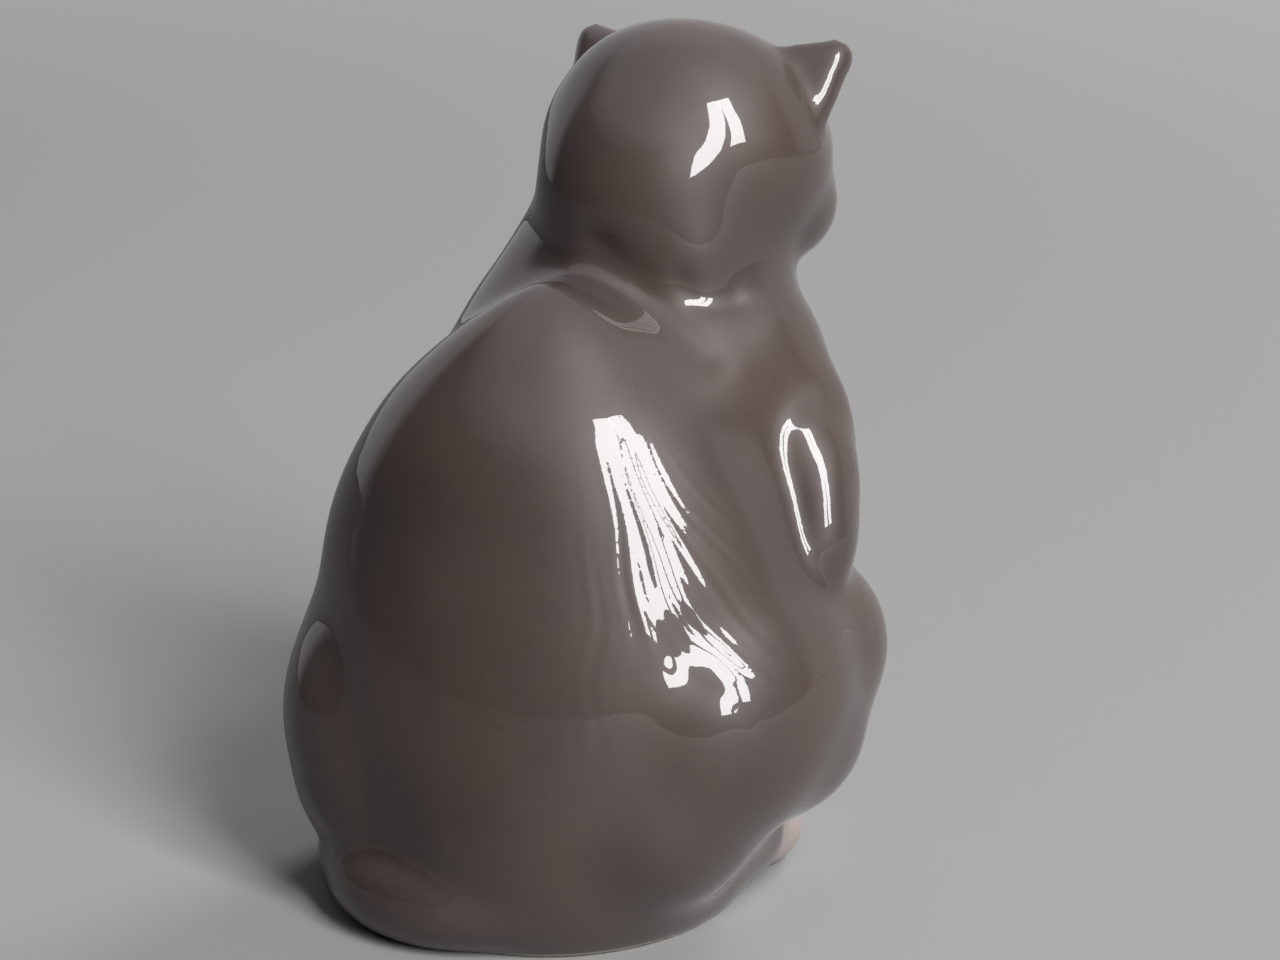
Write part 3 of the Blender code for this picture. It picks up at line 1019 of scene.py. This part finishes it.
def make_floor():
    """The pale cloth that the cat stands on, which runs into the background some way off."""
    bm = bmesh.new()
    bmesh.ops.create_circle(bm, cap_ends=True, segments=96, radius=FLOOR_RADIUS)
    floor = make_object("floor", bm)
    floor.location.z = -FLOOR_DROP
    material = bpy.data.materials.new("pale cloth")
    wires = Wires(material)
    cloth = wires.nodes["Principled BSDF"]
    cloth.inputs["Roughness"].default_value = CLOTH_ROUGHNESS
    place = wires.place()
    far_side = wires.reach(place, direction(CAMERA_AZIMUTH - 90, 0))
    # Painted shade: in the glaze's gloss the cloth turns darker on the far side from the window
    painted_shade = wires.rise(far_side, *PAINTED_SHADE_OVER, top=wires.ray("Glossy"), step="LINEAR")
    seen = wires.mix(painted_shade, CLOTH_SEEN, CLOTH_PAINTED_SHADE)
    wires.put(wires.mix(wires.seen(), CLOTH_FALLING, seen), cloth.inputs["Base Color"])
    away = wires.add("VectorMath", {0: place}, operation="LENGTH").outputs["Value"]
    far = wires.rise(away, *MELTS_OVER, top=wires.ray("Camera"))
    pale = wires.add("Emission", {"Color": BACKGROUND})
    both = wires.add("MixShader", {0: far, 1: cloth.outputs[0], 2: pale.outputs[0]})
    wires.put(both.outputs[0], wires.nodes["Material Output"].inputs["Surface"])
    floor.data.materials.append(material)


def make_world():
    """The room, as the glaze mirrors it. The camera sees a plain background in its place."""
    world = bpy.data.worlds.new("studio")
    bpy.context.scene.world = world
    wires = Wires(world)
    way = wires.place("Generated")
    height = wires.add("SeparateXYZ", {0: way}).outputs["Z"]
    room = wires.mix(wires.rise(height, *CEILING_OVER, step="LINEAR"), ROOM_LOW, CEILING)
    ahead = wires.reach(way, direction(WALL_AZIMUTH, 0))
    wall = wires.rise(ahead, *WALL_OVER, top=WALL_LEVEL, step="LINEAR")
    room = wires.mix(1.0, room, wall, blend="LIGHTEN")
    background = wires.nodes["Background"].inputs
    wires.put(wires.mix(wires.ray("Camera"), room, BACKGROUND), background["Color"])
    strength = wires.times_plus(wires.seen(), 1 - FALLING_SHARE, FALLING_SHARE)
    wires.put(strength, background["Strength"])


def make_light(pane):
    """A soft upright panel that faces the cat."""
    data = bpy.data.lights.new(pane.name, "AREA")
    data.shape = "RECTANGLE"
    data.size = pane.width
    data.size_y = pane.height
    data.energy = pane.power
    light = bpy.data.objects.new(pane.name, data)
    bpy.context.scene.collection.objects.link(light)
    face_the_cat(light, direction(pane.azimuth, pane.elevation), LIGHT_DISTANCE)
    return light


def face_the_cat(obj, towards, distance):
    """Stands an object some way from the cat, looking back at it."""
    obj.location = CAMERA_LOOKS_AT + distance * towards
    obj.rotation_euler = towards.to_track_quat("Z", "Y").to_euler()


def make_camera():
    data = bpy.data.cameras.new("camera")
    data.sensor_width = SENSOR_WIDTH
    data.lens = SENSOR_WIDTH * CAMERA_DISTANCE / FRAME_WIDTH_AT_CAT
    camera = bpy.data.objects.new("camera", data)
    bpy.context.scene.collection.objects.link(camera)
    face_the_cat(camera, direction(CAMERA_AZIMUTH, CAMERA_ELEVATION), CAMERA_DISTANCE)
    bpy.context.scene.camera = camera


def main():
    head = head_frame()
    trunk = model_trunk(head)
    hollow = model_hollow(trunk)
    cat = model_features(model_limbs(trunk, head), head)
    for patch in FACE_PATCHES:
        refine(cat, head, patch)
    for patch in BODY_PATCHES:
        refine(cat, Matrix(), patch)
    laid = sculpt(cat, head)
    open_foot(cat, hollow)
    move = fit_to_solid(cat)
    mark_grooves(cat, laid, move)
    cat.name = "porcelain_cat"
    cat.data.name = "porcelain_cat"
    cat.data.shade_smooth()
    cat.data.set_sharp_from_angle(angle=math.radians(SHARP_ANGLE))
    cat.data.materials.clear()
    cat.data.materials.append(glaze(move))
    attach(cat, "root")
    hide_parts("cat")
    make_floor()
    make_world()
    for pane in WINDOW_PANES:
        make_light(pane)
    make_light(FILL).visible_glossy = False
    make_camera()
    bpy.context.scene.view_settings.view_transform = "Standard"


main()
